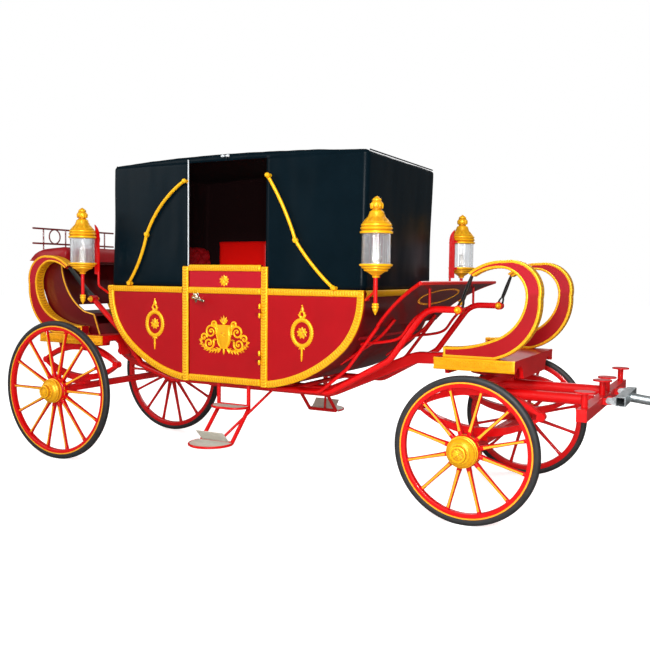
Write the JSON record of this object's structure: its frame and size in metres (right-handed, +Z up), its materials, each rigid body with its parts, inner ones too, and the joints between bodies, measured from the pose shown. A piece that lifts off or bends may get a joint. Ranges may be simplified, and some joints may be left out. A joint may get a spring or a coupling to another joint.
{
  "type": "four-wheeled wedding carriage",
  "caption": "Horse-drawn landau carriage with a folding hood, doors, leather-braced body, turning fore-carriage and pole.",
  "frame": {"origin": "on the ground under the middle of the whole vehicle, pole included", "axes": "+X forward along the pole, +Y to the carriage's left, +Z up"},
  "size_m": [7.5415, 2.0846, 2.44],
  "materials": {
    "dark_lacquer": "gloss lacquer",
    "red_lacquer": "gloss lacquer",
    "gilt": "cast and gilded",
    "hood_leather": "smooth black leather",
    "seat_leather": "buttoned red leather",
    "strap_leather": "black harness leather",
    "seat_wood": "painted wood",
    "wheel_wood": "painted wood",
    "tyre": "solid rubber",
    "lamp_glass": "ribbed clear glass",
    "tread_plate": "ribbed plate",
    "galvanised": "galvanised steel",
    "handle_chrome": "polished"
  },
  "bodies": {
    "root": {"body_tub": "dark_lacquer", "quarter_panels": "red_lacquer", "door_posts": "red_lacquer", "body_mouldings": "gilt", "hood_rear": "hood_leather", "hood_front": "hood_leather", "landau_irons": "gilt", "seat_boxes": "seat_wood", "seat_cushions": "seat_leather", "seat_backs": "seat_leather", "side_squabs": "seat_leather", "body_bearers": "red_lacquer", "c_springs": "red_lacquer", "braces": "strap_leather", "platforms": "red_lacquer", "perch": "red_lacquer", "springs_rear": "red_lacquer", "axle_rear": "red_lacquer", "turntable_upper": "red_lacquer", "lamp_gilt": "gilt", "lamp_glasses": "lamp_glass", "lamp_carriers": "red_lacquer", "dash_board": "dark_lacquer", "dash_irons": "red_lacquer", "rumble_body": "dark_lacquer", "rumble_cushion": "seat_leather", "rumble_rail": "red_lacquer", "step_frames": "red_lacquer", "step_treads": "tread_plate"},
    "fore_carriage": {"turntable_lower": "red_lacquer", "draw_frame": "red_lacquer", "springs_front": "red_lacquer", "axle_front": "red_lacquer"},
    "pole": {"pole": "galvanised"},
    "rear_right_wheel": {"tyre_rear_right": "tyre", "wheel_rear_right": "wheel_wood", "hub_rear_right": "gilt"},
    "rear_left_wheel": {"tyre_rear_left": "tyre", "wheel_rear_left": "wheel_wood", "hub_rear_left": "gilt"},
    "front_right_wheel": {"tyre_front_right": "tyre", "wheel_front_right": "wheel_wood", "hub_front_right": "gilt"},
    "front_left_wheel": {"tyre_front_left": "tyre", "wheel_front_left": "wheel_wood", "hub_front_left": "gilt"},
    "right_door": {"door_right": "red_lacquer", "door_right_rails": "gilt", "door_right_handle": "handle_chrome"},
    "left_door": {"door_left": "red_lacquer", "door_left_rails": "gilt", "door_left_handle": "handle_chrome"}
  },
  "joints": [
    {"name": "rear_right_wheel_spin", "type": "hinge", "parent": "root", "child": "rear_right_wheel", "pos_m": [-3.09143, 0, 0.575], "axis": [0, 1, 0], "continuous": true},
    {"name": "rear_left_wheel_spin", "type": "hinge", "parent": "root", "child": "rear_left_wheel", "pos_m": [-3.09143, 0, 0.575], "axis": [0, 1, 0], "continuous": true},
    {"name": "front_right_wheel_spin", "type": "hinge", "parent": "fore_carriage", "child": "front_right_wheel", "pos_m": [0.43257, 0, 0.471], "axis": [0, 1, 0], "continuous": true},
    {"name": "front_left_wheel_spin", "type": "hinge", "parent": "fore_carriage", "child": "front_left_wheel", "pos_m": [0.43257, 0, 0.471], "axis": [0, 1, 0], "continuous": true},
    {"name": "steering", "type": "hinge", "parent": "root", "child": "fore_carriage", "pos_m": [0.43257, 0, 0.9], "axis": [0, 0, 1], "range_deg": [-35, 35]},
    {"name": "pole_lift", "type": "hinge", "parent": "fore_carriage", "child": "pole", "pos_m": [1.21057, 0, 0.785], "axis": [0, -1, 0], "range_deg": [0, 25]},
    {"name": "right_door_swing", "type": "hinge", "parent": "root", "child": "right_door", "pos_m": [-1.14943, -0.6618, 1.12], "axis": [0, 0, 1], "range_deg": [0, 85]},
    {"name": "left_door_swing", "type": "hinge", "parent": "root", "child": "left_door", "pos_m": [-1.14943, 0.6618, 1.12], "axis": [0, 0, -1], "range_deg": [0, 85]}
  ]
}
